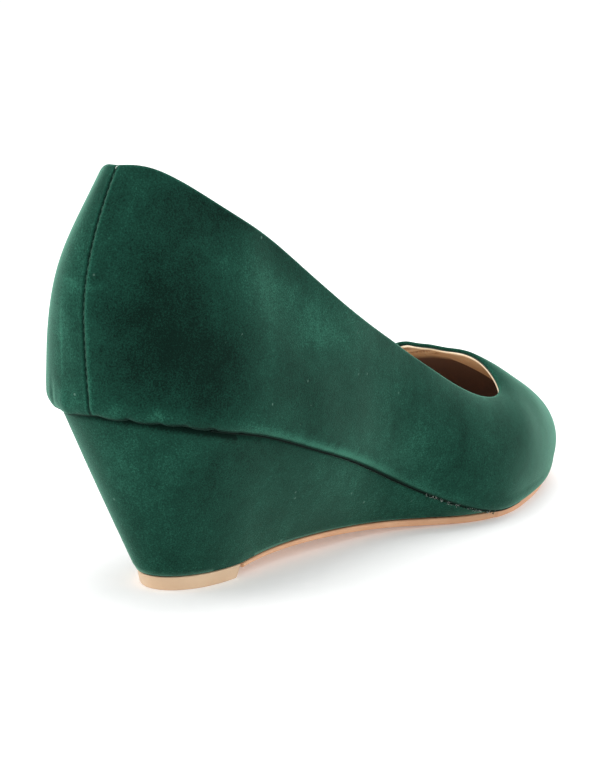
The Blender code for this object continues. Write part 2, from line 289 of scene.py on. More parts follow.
VELVET_DARK = (0.0022, 0.0125, 0.0085)
VELVET_MIDDLE = (0.0070, 0.0470, 0.0310)
VELVET_LIGHT = (0.0260, 0.1350, 0.0890)
VELVET_SHEEN = (0.30, 0.66, 0.50)
PILE_RELIEF = 0.00011

# How light the pile is by itself, and how far it is carried by its nap with its painted highlights and shade,
# and by each layer of noise: strokes, blotches, tufts and fibres
PILE_LEVEL = 0.40
NAP_AND_PAINTED_LIGHT_WEIGHT = 0.50
LAYER_WEIGHTS = (0.55, 0.36, 0.36, 1.00)
BLOTCH_SCALE = 210.0

# Lint: its colour and strength, the scales of the cells and clouds that place it, how high a
# cloud it needs, and where in a cell it starts and is full
LINT = (0.20, 0.36, 0.29)
LINT_SHARE = 0.28
LINT_CELLS = 260.0
LINT_CLOUDS = 90.0
LINT_ABOVE = 0.61
LINT_EDGE = (0.13, 0.05)

# The Mix node's colour sockets by number, because their names repeat
MIX_SHARE, MIX_FIRST, MIX_SECOND, MIX_RESULT = 0, 6, 7, 2


def add_node(tree, kind, links=(), **settings):
    """A node with its settings, and its inputs linked or set: (input, socket or value)."""
    node = tree.nodes.new(kind)
    for key, value in settings.items():
        setattr(node, key, value)
    for key, value in links:
        if isinstance(value, bpy.types.NodeSocket):
            tree.links.new(value, node.inputs[key])
        else:
            node.inputs[key].default_value = value
    return node


def group_tree(name, kind, inputs, outputs):
    """A node group with named inputs and outputs, and its nodes for entering and leaving it."""
    tree = bpy.data.node_groups.new(name, kind)
    for way, sockets in (("INPUT", inputs), ("OUTPUT", outputs)):
        for label, holds, *value in sockets:
            socket = tree.interface.new_socket(label, in_out=way, socket_type="NodeSocket" + holds)
            if value:
                socket.default_value = value[0]
    return tree, add_node(tree, "NodeGroupInput"), add_node(tree, "NodeGroupOutput")


def math_node(tree, operation, *values):
    """The output of one Math node."""
    node = add_node(tree, "ShaderNodeMath", list(enumerate(values)), operation=operation)
    return node.outputs[0]


def map_range(tree, value, low, high, to_low=0.0, to_high=1.0, smooth=True):
    """A value carried from one range to another."""
    node = add_node(tree, "ShaderNodeMapRange", [
        ("Value", value), ("From Min", low), ("From Max", high), ("To Min", to_low), ("To Max", to_high),
    ], interpolation_type="SMOOTHSTEP" if smooth else "LINEAR")
    return node.outputs["Result"]


def object_place(tree):
    """The place on the piece, which every noise reads."""
    return add_node(tree, "ShaderNodeTexCoord").outputs["Object"]


def noise(tree, scale, detail=2.0, roughness=0.5, distortion=0.0):
    """The value of a noise at a scale in repeats for each metre."""
    node = add_node(tree, "ShaderNodeTexNoise", [
        ("Vector", object_place(tree)), ("Scale", scale), ("Detail", detail),
        ("Roughness", roughness), ("Distortion", distortion)])
    return node.outputs["Fac"]


def mix_colour(tree, share, first, second):
    """Two colours, each a socket or red, green and blue, mixed by a share."""
    first, second = (colour if isinstance(colour, bpy.types.NodeSocket) else (*colour, 1.0)
                     for colour in (first, second))
    node = add_node(tree, "ShaderNodeMix", [(MIX_SHARE, share), (MIX_FIRST, first), (MIX_SECOND, second)],
                    data_type="RGBA", clamp_factor=True)
    return node.outputs[MIX_RESULT]


def blend(tree, source, low, high, first, second, most=1.0):
    """Two colours mixed as a noise goes from low to high, with at most a share of the second."""
    return mix_colour(tree, map_range(tree, source, low, high, 0.0, most), first, second)


tree, enter, leave = group_tree("velvet_nap_and_painted_light", "ShaderNodeTree", (
    ("Nap", "Float", 0.0), ("Stroke Scale", "Float", 55.0), ("Tuft Scale", "Float", 1500.0),
    ("Fibre Scale", "Float", 2700.0), ("Lint", "Float", 1.0),
), (("Color", "Color"), ("Height", "Float"), ("Roughness", "Float")))
strokes = noise(tree, enter.outputs["Stroke Scale"], 3.0, 0.55, 0.6)
blotches = noise(tree, BLOTCH_SCALE, 3.0, 0.6, 0.3)
tufts = noise(tree, enter.outputs["Tuft Scale"], 2.0, 0.6)
fibres = noise(tree, enter.outputs["Fibre Scale"], 2.0, 0.6)
# The nap input brings in the pieces' painted highlights and shade as well
level = math_node(tree, "MULTIPLY_ADD", enter.outputs["Nap"], NAP_AND_PAINTED_LIGHT_WEIGHT, PILE_LEVEL)
for source, weight in zip((strokes, blotches, tufts, fibres), LAYER_WEIGHTS):
    centred = math_node(tree, "SUBTRACT", source, 0.5)
    level = math_node(tree, "MULTIPLY_ADD", centred, weight, level)
low_half = map_range(tree, level, 0.0, 0.5, smooth=False)
high_half = map_range(tree, level, 0.5, 1.0, smooth=False)
pile_and_painted_light = mix_colour(tree, low_half, VELVET_DARK, VELVET_MIDDLE)
pile_and_painted_light = mix_colour(tree, high_half, pile_and_painted_light, VELVET_LIGHT)
cells = add_node(tree, "ShaderNodeTexVoronoi", [("Vector", object_place(tree)), ("Scale", LINT_CELLS)])
speck = map_range(tree, cells.outputs["Distance"], *LINT_EDGE)
chosen = math_node(tree, "GREATER_THAN", noise(tree, LINT_CLOUDS), LINT_ABOVE)
for factor in (chosen, enter.outputs["Lint"], LINT_SHARE):
    speck = math_node(tree, "MULTIPLY", speck, factor)
tree.links.new(mix_colour(tree, speck, pile_and_painted_light, LINT), leave.inputs["Color"])
tree.links.new(fibres, leave.inputs["Height"])
tree.links.new(map_range(tree, level, 0.0, 1.0, 0.95, 0.80), leave.inputs["Roughness"])
nap_and_painted_light_tree = tree


def new_material(name, **constants):
    """A material with its shader, and the shader's constant sockets set."""
    material = bpy.data.materials.new(name)
    material.use_nodes = True
    shader = material.node_tree.nodes["Principled BSDF"]
    for key, value in constants.items():
        shader.inputs[key.replace("_", " ")].default_value = value
    return material, material.node_tree, shader


def feed(tree, shader, **sources):
    """Links sockets to the shader's inputs."""
    for key, socket in sources.items():
        tree.links.new(socket, shader.inputs[key.replace("_", " ")])


def bump(tree, shader, height, distance, strength):
    """Feeds a height to the shader's normal."""
    node = add_node(tree, "ShaderNodeBump", [
        ("Strength", strength), ("Distance", distance), ("Height", height)])
    feed(tree, shader, Normal=node.outputs["Normal"])


def attribute(tree, name):
    """A value that the piece carries at its points."""
    return add_node(tree, "ShaderNodeAttribute", attribute_name=name).outputs["Fac"]


def velvet_material(name, stroke_scale, lint=1.0, sheen=0.85):
    """Green velvet that reads its pieces' nap attribute, which carries painted highlights and painted shade
    as well as the pile's strokes.
    """
    material, tree, shader = new_material(
        name, Sheen_Weight=sheen, Sheen_Roughness=0.30, Sheen_Tint=(*VELVET_SHEEN, 1.0),
        Specular_IOR_Level=0.06)
    cloth = add_node(tree, "ShaderNodeGroup", [
        ("Nap", attribute(tree, "nap")), ("Stroke Scale", stroke_scale), ("Lint", lint),
    ], node_tree=nap_and_painted_light_tree)
    feed(tree, shader, Base_Color=cloth.outputs["Color"], Roughness=cloth.outputs["Roughness"])
    bump(tree, shader, cloth.outputs["Height"], PILE_RELIEF, strength=0.6)
    return material


# The velvet upper.
# Two quarters joined by a seam down the back, pulled over the last and folded over the edge
# of the collar. Its lower edge is gathered under the foot, which puckers it round the heel.

UPPER_STATIONS = 400
UPPER_CROWD = 0.72
MARGIN_SHARES = (1.0, 0.6, 0.25)
ROLL_RINGS = 10
UPPER_WALL_RINGS = 66
INNER_WALL_EVERY = 6
VELVET_DEPTH = 0.0011

# The rim over the topline. For each ring: the degrees round it, and the share that it keeps of
# the wall's relief
RIM_CROWN = 0.0009
RIM = ((25, 1.0), (50, 0.9), (75, 0.8), (100, 0.6), (125, 0.4), (150, 0.2))

# The back seam's groove, and the lips beside it, placed in groove widths. It starts above the
# lower edge and grows shallower at the collar.
SEAM_DEPTH = 0.00034
SEAM_WIDTH = 0.00040
LIP_RISE = 0.00012
LIP_AT = 2.2
LIP_HALF = 1.2
LIP_OUTER = 1.4
LIP_INNER = 0.8
SEAM_START = (0.001, 0.005)
COLLAR_FROM = 0.93
COLLAR_FLATTENS = 0.55

# The topline rises at the throat's middle. It falls off on the inner side from just outward of
# the back seam, and comes back. Both fade out down the wall.
THROAT_LIFT = 0.0007
THROAT_REACH = 0.013
THROAT_ABOVE = 0.55
BACK_DIP = 0.0015
BACK_DIP_FROM = 0.003
BACK_DIP_REACH = 0.0115
BACK_DIP_END = 0.018
BACK_DIP_FADE = 0.030
BACK_DIP_ABOVE = 0.5

# Waves all over the wall, too low to be seen as folds
WAVES = 26
WAVE_LENGTHS = (0.018, 0.055)
WAVE_HEIGHT = 0.000022
WAVE_FADE = 0.006

# So many rings from the margin up get painted shade for the dark gap under the upper's lower edge: they are
# painted near black and take a copy of the velvet with little sheen. The last ones are darkened less, each by
# its own painted shade.
SHADED_RINGS = 7
PAINTED_SHADE_LEVEL = -1.6
ROLL_PAINTED_SHADE = (1.0, 0.4)
# Painted shade in the back seam's groove, and painted highlights on the lips beside it, weaker on the inner
# side
SEAM_PAINTED_SHADE = -0.9
LIP_PAINTED_HIGHLIGHT = 0.55
LIP_HIGHLIGHT_AT = 1.8
LIP_HIGHLIGHT_INNER = 0.4
# A painted highlight along the rim over the topline
RIM_PAINTED_HIGHLIGHT = 0.35

# How far the lower edge is drawn up or sags: millimetres from the back seam, along the outer
# side and then along the inner one, and millimetres up
EDGE_LIFT = {
    "outer": ((0, -0.7), (8, -0.6), (16, -0.2), (28, 0.0), (39, 0.3), (50, 0.7), (58, 0.7), (66, 0.6),
              (76, 0.5), (88, 0.5), (115, 0.4), (137, 0.3), (150, 0.0), (170, 0.0)),
    "inner": ((0, -0.7), (5, -1.3), (10, -1.3), (16, -0.9), (25, -0.2), (34, 0.1), (52, 0.2), (80, 0.2),
              (110, 0.0)),
}
EDGE_LIFT_REACH = 0.009

# Puckers where the edge is gathered round the heel: place, half width and height up, in
# millimetres, the place below 0 on the inner side
PUCKERS = (
    (1.8, 1.3, 0.20), (5.5, 2.2, -0.18), (9.3, 0.9, 0.30), (13.5, 2.4, -0.20), (16.8, 0.9, 0.22),
    (19.0, 1.6, -0.22), (23.6, 1.0, 0.34), (27.5, 2.6, -0.16), (31.2, 0.9, 0.26), (36.5, 3.0, -0.10),
    (40.5, 1.1, 0.16), (-4.5, 1.4, 0.18), (-8.5, 2.4, -0.16), (-13.6, 1.0, 0.28), (-18.5, 2.6, -0.20),
    (-23.0, 1.0, 0.24), (-27.0, 1.8, -0.14), (-33.5, 1.2, 0.26), (-40.0, 2.6, -0.12),
)
PUCKER_REACH = 0.0028

# Soft folds and dents in the wall. s and h are millimetres from the back seam and up from the
# lower edge, s being negative on the inner side; long and wide are the half length and half
# width; turn is the fold's angle; lift is how far it stands out.
# Columns: s, h, long, wide, turn, lift
FOLDS = (
    (6, 4, 3, 2.5, 80, 0.22),
    (9.5, 3, 4, 1.4, 100, -0.28),
    (13, 5, 5, 2.6, 80, 0.20),
    (22, 4, 5, 1.5, 98, -0.28),
    (26, 5, 5, 3.0, 85, 0.20),
    (30, 3, 5, 1.5, 105, -0.25),
    (5, 26, 5, 3, 0, 0.20),
    (-5, 26, 5, 3, 0, 0.20),
    (-9, 4, 4, 2.2, 95, 0.30),
    (-16, 4, 4, 1.6, 80, -0.30),
    (-24, 5, 5, 2.6, 95, 0.30),
    (-40, 5, 5, 2.6, 100, 0.25),
    (60, 34, 26, 7, 150, -0.25),
    (-70, 30, 28, 8, 30, -0.25),
)

# Where the pile is lighter (above 0) or darker (below 0), placed in the same way. Some spots are strokes of
# the nap; others are painted light: painted shade over the outer counter and at the toe, a painted sheen on
# the inner side beside the back seam, and painted highlights on the ridge either side of the seam and along
# the lip of the lower edge.
NAP_AND_PAINTED_LIGHT = (
    # painted shade over the outer counter
    (22, 25, 24, 18, 90, -0.70),
    (37, 18, 12, 9, 0, -0.45),
    (26, 54, 22, 6, 0, -0.30),
    (56, 49, 26, 4, -22, -0.30),
    (40, 41, 12, 6, -14, 0.25),
    (66, 38, 28, 8, -14, 0.35),
    (84, 33, 9, 7, 0, 0.25),
    (66, 17, 20, 8, 0, -0.15),
    (104, 20, 6, 12, 0, -0.15),
    (132, 18, 10, 14, 0, 0.15),
    # painted sheen on the inner side beside the back seam
    (-8, 26, 34, 7, 90, 0.40),
    # painted highlights on the ridge either side of the seam
    (2.8, 33, 2.2, 1.1, 10, 0.5),
    (-4, 33, 3, 1.1, -10, 0.4),
    (1.3, 20, 16, 0.5, 90, 0.3),
    (-8.5, 18, 9, 0.6, 88, 0.5),
    (152, 22, 12, 7, 90, -0.22),
    (140, 26, 30, 12, 0, 0.10),
    # painted shade at the toe
    (212, 24, 26, 16, 0, -0.30),
    # painted highlights along the lip of the lower edge
    (16, 4, 22, 2.2, 0, 0.25),
    (6, 3, 3, 1.6, 20, 0.45),
    (17, 3, 3, 1.4, 20, 0.40),
    (66, 2.6, 30, 1.5, 0, 0.50),
    (125, 2.6, 34, 1.5, 0, 0.40),
    (94, 1.7, 34, 1.1, 0, 0.85),
    (120, 9, 26, 5, 0, 0.20),
)


def blobs(table, s, h):
    """The sum of a table's soft spots over the surface, as large as their lift."""
    total = np.zeros(s.shape)
    for at_s, at_h, long, wide, turn, lift in table:
        cos, sin = np.cos(np.radians(turn)), np.sin(np.radians(turn))
        ds, dh = s * 1000 - at_s, h * 1000 - at_h
        along = (ds * cos + dh * sin) / long
        aside = (dh * cos - ds * sin) / wide
        total += lift * np.exp(-(along**2 + aside**2))
    return total


def edge_lift(side, distance):
    """How far the lower edge is drawn up at a distance from the back seam, in metres."""
    table = np.array(EDGE_LIFT[side])
    values = smooth_curve(table[:, 0], table[:, 1], np.ravel(distance) * 1000)
    return values[:, 0].reshape(np.shape(distance)) / 1000


def ring_distance(rings):
    """Signed distance along each ring from the back seam: outer side above 0, inner below."""
    columns = rings.transpose(1, 0, 2)
    walked = walk_length(np.concatenate([columns, columns[:1]]))
    walked[len(columns) // 2 + 1:] -= walked[-1]
    return walked[:-1].T


def topline_lift(rings, s, share):
    """How far the wall moves up at a share of its height: up at the throat's middle, and down
    on the inner side of the back seam."""
    front = form[1][:, 0].max()
    rise = THROAT_LIFT * near(rings[:, :, 0], THROAT_REACH, front)
    dip = BACK_DIP * (1 - near(np.minimum(s - BACK_DIP_FROM, 0), BACK_DIP_REACH))
    dip *= near(np.maximum(-s - BACK_DIP_END, 0), BACK_DIP_FADE)
    return rise * ease(share, THROAT_ABOVE) - dip * ease(share, BACK_DIP_ABOVE)


form = stations(UPPER_STATIONS, UPPER_CROWD)
margin = [inset(form[0], form[2], LASTING_MARGIN * share) for share in MARGIN_SHARES]
foot_row = len(margin)
outside = margin + roll_rings(form, 0, np.linspace(0, np.pi / 2, ROLL_RINGS, endpoint=False))
first_wall = len(outside)
outside = np.array(outside + wall_rings(form, np.linspace(0, 1, UPPER_WALL_RINGS)))
normals = surface_normals(outside)

s = ring_distance(outside)
h = walk_length(outside)
h -= h[foot_row]
groove = near(s, SEAM_WIDTH)
beside = np.abs(s) / SEAM_WIDTH
lips = near(beside, LIP_HALF, LIP_AT) * np.where(s > 0, LIP_OUTER, LIP_INNER)
seam = LIP_RISE * lips - SEAM_DEPTH * groove
seam *= ease(h, *SEAM_START)
seam *= 1 - COLLAR_FLATTENS * ease(h / h[-1], COLLAR_FROM)
folds = blobs(FOLDS, s, h) / 1000
rng = np.random.default_rng(7)
waves = np.zeros(s.shape)
for _ in range(WAVES):
    length = rng.uniform(*WAVE_LENGTHS)
    way = rng.uniform(0, 2 * np.pi)
    phase = rng.uniform(0, 2 * np.pi)
    waves += np.sin(2 * np.pi / length * (s * np.cos(way) + h * np.sin(way)) + phase)
waves *= WAVE_HEIGHT * ease(h, 0, WAVE_FADE)
move = (seam + folds + waves)[:, :, None]
raised = np.where(s >= 0, edge_lift("outer", s), edge_lift("inner", -s))
lift = raised * near(np.maximum(h, 0), EDGE_LIFT_REACH)
for place, half, rise in PUCKERS:
    lift += rise / 1000 * near(s * 1000, half, place) * near(np.maximum(h, 0), PUCKER_REACH)
top_lift = topline_lift(outside, s, h / h[-1])
lift = UP * (lift + top_lift)[:, :, None]
velvet_outside = outside + normals * move + lift
velvet_outside[:foot_row] = outside[:foot_row] + UP * np.maximum(raised[foot_row], 0)[:, None]

inner_rows = slice(None, first_wall - 1, -INNER_WALL_EVERY)
inner_wall = (outside - normals * VELVET_DEPTH)[inner_rows]
climb = unit(outside[-1] - outside[-2])
rim = []
for degrees, keeps in RIM:
    share = (1 - np.cos(np.radians(degrees))) / 2
    crown = climb * RIM_CROWN * np.sin(np.radians(degrees))
    rim.append(outside[-1] * (1 - share) + inner_wall[0] * share + crown
               + lift[-1] + normals[-1] * move[-1] * keeps)
inner_lift = UP * top_lift[inner_rows][:, :, None]
under = roll_rings(form, VELVET_DEPTH, INSIDE_ROLL) + [margin[0] + UP * VELVET_DEPTH]
rings = np.concatenate([velvet_outside, rim, inner_wall + inner_lift, under])

# Painted highlights on the seam's lips and painted shade in its groove
lit_lips = near(beside, 1, LIP_HIGHLIGHT_AT) * np.where(s > 0, 1, LIP_HIGHLIGHT_INNER)
pile_and_painted_light = blobs(NAP_AND_PAINTED_LIGHT, s, h) + LIP_PAINTED_HIGHLIGHT * lit_lips + SEAM_PAINTED_SHADE * groove
# Painted shade on the lowest rings, for the dark gap under the upper's lower edge
dark = SHADED_RINGS - len(ROLL_PAINTED_SHADE)
pile_and_painted_light[:dark] = PAINTED_SHADE_LEVEL
pile_and_painted_light[dark:SHADED_RINGS] -= np.array(ROLL_PAINTED_SHADE)[:, None]
nap = np.zeros(rings.shape[:2])
nap[:len(outside)] = pile_and_painted_light
# The rim's painted highlight
nap[len(outside):len(outside) + len(rim)] = RIM_PAINTED_HIGHLIGHT
upper_velvet = wrapped("upper_velvet", rings, [("nap", nap)])
upper_velvet.data.materials.append(velvet_material("velvet_upper", 55.0))
# A copy of the velvet with little sheen and no lint on the lowest rings: painted shade for the same gap
upper_velvet.data.materials.append(velvet_material("velvet_painted_shade", 55.0, lint=0.0, sheen=0.10))
for face in upper_velvet.data.polygons:
    face.material_index = int(max(face.vertices) < SHADED_RINGS * rings.shape[1])
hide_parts("upper")
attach(upper_velvet, "root")

# The back seam's stitches.
# One row of green thread that closes the seam. Each stitch sinks into the pile, and the thread's
# cut ends are left pale at the collar.

STITCH_PITCH = 0.0021
STITCH_LENGTH = 0.0013
STITCH_THICK = 0.00011
THREAD_GREEN = (0.030, 0.120, 0.080)
THREAD_PALE = (0.42, 0.55, 0.48)
THREAD_WHITE = (0.60, 0.70, 0.64)

# The loose ends: millimetres aside, up and out from the collar's back, two points each. Each
# bows up between its points.
LOOSE_ENDS = (((0.0, -0.2, 0.2), (0.6, 0.3, 0.35)), ((-0.2, -0.6, 0.2), (-0.6, -1.4, 0.4)))
LOOSE_BOW = (0, 0.25, 0)
LOOSE_RADIUS = 0.00009

# A way that no thread or crumb runs along, from which its round section is set out
ODD_WAY = (0.31, 0.83, 0.46)


def stitch_tree(material):
    """Geometry nodes that set one stitch at each pitch along a line, turned along it."""
    tree, enter, leave = group_tree("stitch_row", "GeometryNodeTree", (
        ("Geometry", "Geometry"), ("Pitch", "Float", STITCH_PITCH), ("Length", "Float", STITCH_LENGTH),
        ("Thickness", "Float", STITCH_THICK),
    ), [("Geometry", "Geometry")])
    line = add_node(tree, "GeometryNodeMeshToCurve", [(0, enter.outputs["Geometry"])])
    evenly = add_node(tree, "GeometryNodeResampleCurve", [
        ("Curve", line.outputs[0]), ("Length", enter.outputs["Pitch"])], mode="LENGTH")
    ball = add_node(tree, "GeometryNodeMeshUVSphere", [("Segments", 8), ("Rings", 6), ("Radius", 0.5)])
    run = add_node(tree, "GeometryNodeInputTangent")
    turn = add_node(tree, "FunctionNodeAlignRotationToVector", [("Vector", run.outputs[0])], axis="Z")
    size = add_node(tree, "ShaderNodeCombineXYZ", [
        ("X", enter.outputs["Thickness"]), ("Y", enter.outputs["Thickness"]), ("Z", enter.outputs["Length"])])
    points = add_node(tree, "GeometryNodeInstanceOnPoints", [
        ("Points", evenly.outputs[0]), ("Instance", ball.outputs["Mesh"]),
        ("Rotation", turn.outputs[0]), ("Scale", size.outputs[0])])
    real = add_node(tree, "GeometryNodeRealizeInstances", [(0, points.outputs[0])])
    dressed = add_node(tree, "GeometryNodeSetMaterial", [(0, real.outputs[0]), ("Material", material)])
    tree.links.new(dressed.outputs[0], leave.inputs[0])
    return tree


def realised(name, piece):
    """The piece's evaluated mesh as a plain piece of its own, and the first one removed."""
    graph = bpy.context.evaluated_depsgraph_get()
    mesh = bpy.data.meshes.new_from_object(piece.evaluated_get(graph))
    bpy.data.objects.remove(piece)
    mesh.name = name
    return placed(name, mesh)


def lofted(rails, cap_rear=False, cap_front=False):
    """Points and faces of a solid from rails, listed round its section, and its flat ends."""
    grid = np.array(rails).transpose(1, 0, 2)
    rungs, count = grid.shape[:2]
    faces = wrap_faces(rungs, count, rows_close=False)
    if cap_rear:
        faces.append(tuple(range(count)))
    if cap_front:
        faces.append(tuple(range((rungs - 1) * count, rungs * count)))
    return grid.reshape(-1, 3), faces


def tube(points, radius, sides=6):
    """Points and faces of a round thread with closed ends along a few points."""
    points = np.asarray(points, float)
    run = unit(np.gradient(points, axis=0))
    aside = unit(np.cross(run, ODD_WAY))
    other = np.cross(run, aside)
    angles = np.linspace(0, 2 * np.pi, sides, endpoint=False)
    rails = [points + radius * (aside * np.cos(a) + other * np.sin(a)) for a in angles]
    return lofted(rails, cap_rear=True, cap_front=True)


def joined(parts):
    """Many (points, faces) as one."""
    points, faces, start = [], [], 0
    for part_points, part_faces in parts:
        points.append(part_points)
        faces += [tuple(start + corner for corner in face) for face in part_faces]
        start += len(part_points)
    return np.vstack(points), faces


thread, tree, shader = new_material(
    "thread_green", Specular_IOR_Level=0.2, Sheen_Weight=0.4, Roughness=0.8)
feed(tree, shader, Base_Color=mix_colour(tree, noise(tree, 3000.0, 1.0), THREAD_GREEN, VELVET_LIGHT))
seam_line = velvet_outside[first_wall + 2:, 0] - CENTRE
mesh = bpy.data.meshes.new("seam_line")
mesh.from_pydata([tuple(point) for point in seam_line], [(i, i + 1) for i in range(len(seam_line) - 1)], [])
seam_piece = placed("seam_line", mesh)
seam_piece.modifiers.new("sewing", "NODES").node_group = stitch_tree(thread)
seam_stitches = realised("seam_stitches", seam_piece)
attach(seam_stitches, "root")

pale_thread, tree, shader = new_material("thread_pale", Specular_IOR_Level=0.2, Roughness=0.8)
feed(tree, shader, Base_Color=mix_colour(tree, noise(tree, 2500.0, 1.0), THREAD_PALE, THREAD_WHITE))
collar_back = velvet_outside[-1, 0]
ends = []
for first, last in LOOSE_ENDS:
    first, last = np.array(first), np.array(last)
    steps = np.linspace(0, 1, 5)[:, None]
    path = first + (last - first) * steps + np.array(LOOSE_BOW) * np.sin(np.pi * steps)
    aside, up, out = path.T / 1000
    ends.append(tube(collar_back + np.column_stack([-out, -aside, up]), LOOSE_RADIUS))
loose_ends = new_piece("loose_ends", *joined(ends))
loose_ends.data.materials.append(pale_thread)
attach(loose_ends, "root")

# The lining.
# Thin tan leather folded over the collar's edge from inside; below a wandering line, deeper under the vamp,
# the lining is dark brown. It creases a little where the shoe bends.

LINING_GAP = 0.00015
LINING_STATIONS = 240
LINING_RINGS = 46
LINING_CROWD = 1.5
LINING_CROWN = 0.0004
LINING_TAN = (0.97, 0.76, 0.51)
LINING_PALE = (0.99, 0.88, 0.66)
# Painted shade in the lining's creases
LINING_CREASE_SHADE = (0.42, 0.21, 0.13)
LINING_DARK = (0.180, 0.130, 0.125)

# The tan facing's depth, the width and the wander of its lower edge. Under the vamp it reaches
# deeper, fading in over VAMP_X and, outward, VAMP_Y, and the folds carry its edge along.
BAND = 0.0130
BAND_FADE = 0.0048
BAND_WOBBLE = 0.0090
BAND_DEEPER = 0.040
VAMP_X = (0.176, 0.184)
VAMP_Y = (-0.0005, -0.0065)
BAND_RUMPLE = 0.0045
BELOW_BAND = 0.05

# Folds in the facing, in the columns of FOLDS with h down from the topline, and how deep a fold shows its
# full painted shade in the crease
LINING_FOLDS = (
    (-205.5, 4.6, 3.0, 0.9, 50, -0.45),
    (-208.5, 4.2, 3.2, 1.2, 60, 0.55),
    (-211.5, 4.6, 3.4, 1.0, 60, -0.60),
    (-214.5, 4.4, 3.2, 1.2, 65, 0.60),
    (-217.0, 5.6, 2.6, 0.9, 60, -0.45),
)
FULL_CREASE_SHADE = 0.20
CREASE_SHADE_SHARE = 0.95

form = stations(LINING_STATIONS)
wall = np.array(wall_rings(form, 1 - np.linspace(0, 1, LINING_RINGS)**LINING_CROWD))
normals = surface_normals(wall[::-1])[::-1]
back_depth = VELVET_DEPTH + LINING_GAP
shown = wall - normals * WALL
s = ring_distance(shown)
down = walk_length(shown)
lift = UP * topline_lift(shown, s, 1 - down / down[-1])[:, :, None]
creases = blobs(LINING_FOLDS, s, down)
shown = shown + lift - normals * (creases / 1000)[:, :, None]
hidden = wall - normals * back_depth + lift
climb = unit(wall[0] - wall[1])
edge = []
for share in (0.25, 0.5, 0.75):
    crown = climb * LINING_CROWN * np.sin(np.pi * share)
    edge.append(hidden[0] * (1 - share) + shown[0] * share + crown)
foot = inset(form[0], form[2], LASTING_MARGIN)
rings = np.concatenate([
    edge, shown, roll_rings(form, WALL, INSIDE_ROLL), [foot + UP * WALL, foot + UP * back_depth],
    roll_rings(form, back_depth, INSIDE_ROLL[::-1]), hidden[::-3]])
start, end = len(edge), len(edge) + len(shown)
deeper = BAND_DEEPER * ease(shown[:, :, 0], *VAMP_X) * ease(shown[:, :, 1], *VAMP_Y)
depth, crease_shade = np.zeros((2, *rings.shape[:2]))
depth[start:end] = down - BAND_RUMPLE * creases - deeper
depth[end:] = BELOW_BAND
crease_shade[start:end] = np.clip(-creases / FULL_CREASE_SHADE, 0, 1)
upper_lining = wrapped("upper_lining", rings, [("depth", depth), ("crease_shade", crease_shade)])
lining, tree, shader = new_material("lining", Specular_IOR_Level=0.35)
wobble = math_node(tree, "MULTIPLY_ADD", noise(tree, 95.0, 0.5), BAND_WOBBLE, attribute(tree, "depth"))
band_end = BAND + BAND_WOBBLE / 2
inside = map_range(tree, wobble, band_end - BAND_FADE / 2, band_end + BAND_FADE / 2)
grain = noise(tree, 900.0, 4.0, 0.6)
skin = blend(tree, grain, 0.3, 0.7, LINING_TAN, LINING_PALE)
# Painted shade in the creases, from the folds' dents
painted_crease_shade = math_node(tree, "MULTIPLY", attribute(tree, "crease_shade"), CREASE_SHADE_SHARE)
skin = mix_colour(tree, painted_crease_shade, skin, LINING_CREASE_SHADE)
feed(tree, shader, Base_Color=mix_colour(tree, inside, skin, LINING_DARK),
     Roughness=map_range(tree, inside, 0.0, 1.0, 0.5, 0.9))
bump(tree, shader, grain, 0.00015, strength=0.6)
upper_lining.data.materials.append(lining)
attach(upper_lining, "root")

# The insole.
# A board covered with tan lining leather, which fills the space inside the lasting margin.
# A thin padded sock with a pressed edge lies on it under the foot.

SOCK_STATIONS = 160
SOCK_CROWN = 0.0006
SOCK_EDGE_IN = 0.0008
SOCK_EDGE_UP = 0.0003
SOCK_RAILS = 24
BOARD_RAILS = 6
SOCK_TAN = (0.50, 0.30, 0.17)
SOCK_PALE = (0.62, 0.40, 0.24)
SOCK_WORN = (0.30, 0.17, 0.09)


def both_edges(points):
    """Splits a loop of stations into its outer and inner side, each from heel to toe."""
    half = len(points) // 2
    return points[:half + 1], np.vstack([points[:1], points[:half - 1:-1]])


def across(first, second, steps, crown=0.0):
    """Rails between two edges, without the edges themselves, raised in the middle by crown."""
    shares = np.linspace(0, 1, steps + 1)[1:-1]
    return [first + (second - first) * share + UP * crown * np.sin(np.pi * share)**0.5 for share in shares]


form = stations(SOCK_STATIONS)
seat = WALL + GAP
foot = inset(form[0], form[2], LASTING_MARGIN + GAP)
levels = [foot, foot + UP * seat, *roll_rings(form, seat, np.linspace(0, np.pi / 2, 6))]
levels.append(levels[-1] - form[2] * SOCK_EDGE_IN + UP * SOCK_EDGE_UP)
levels = [both_edges(level) for level in levels]
rails = [outer for outer, _ in levels]
rails += across(levels[-1][0], levels[-1][1], SOCK_RAILS, SOCK_CROWN)
rails += [inner for _, inner in reversed(levels)]
rails += across(levels[0][1], levels[0][0], BOARD_RAILS)
sock = new_piece("sock", *lofted(rails))
leather, tree, shader = new_material("sock_leather", Specular_IOR_Level=0.35)
grain = noise(tree, 1100.0, 4.0, 0.6)
wear = noise(tree, 40.0, 3.0)
skin = blend(tree, grain, 0.3, 0.7, SOCK_TAN, SOCK_PALE)
feed(tree, shader, Base_Color=blend(tree, wear, 0.45, 0.75, skin, SOCK_WORN, most=0.35),
     Roughness=map_range(tree, wear, 0.3, 0.7, 0.62, 0.45))
bump(tree, shader, grain, 0.00012, strength=0.6)
sock.data.materials.append(leather)
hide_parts("insole")
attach(sock, "root")

# The wedge.
# A light core under the heel and arch, covered with the same velvet. The cloth is pulled
# over its sides and turned in at the top, and it runs out to nothing ahead of the arch.

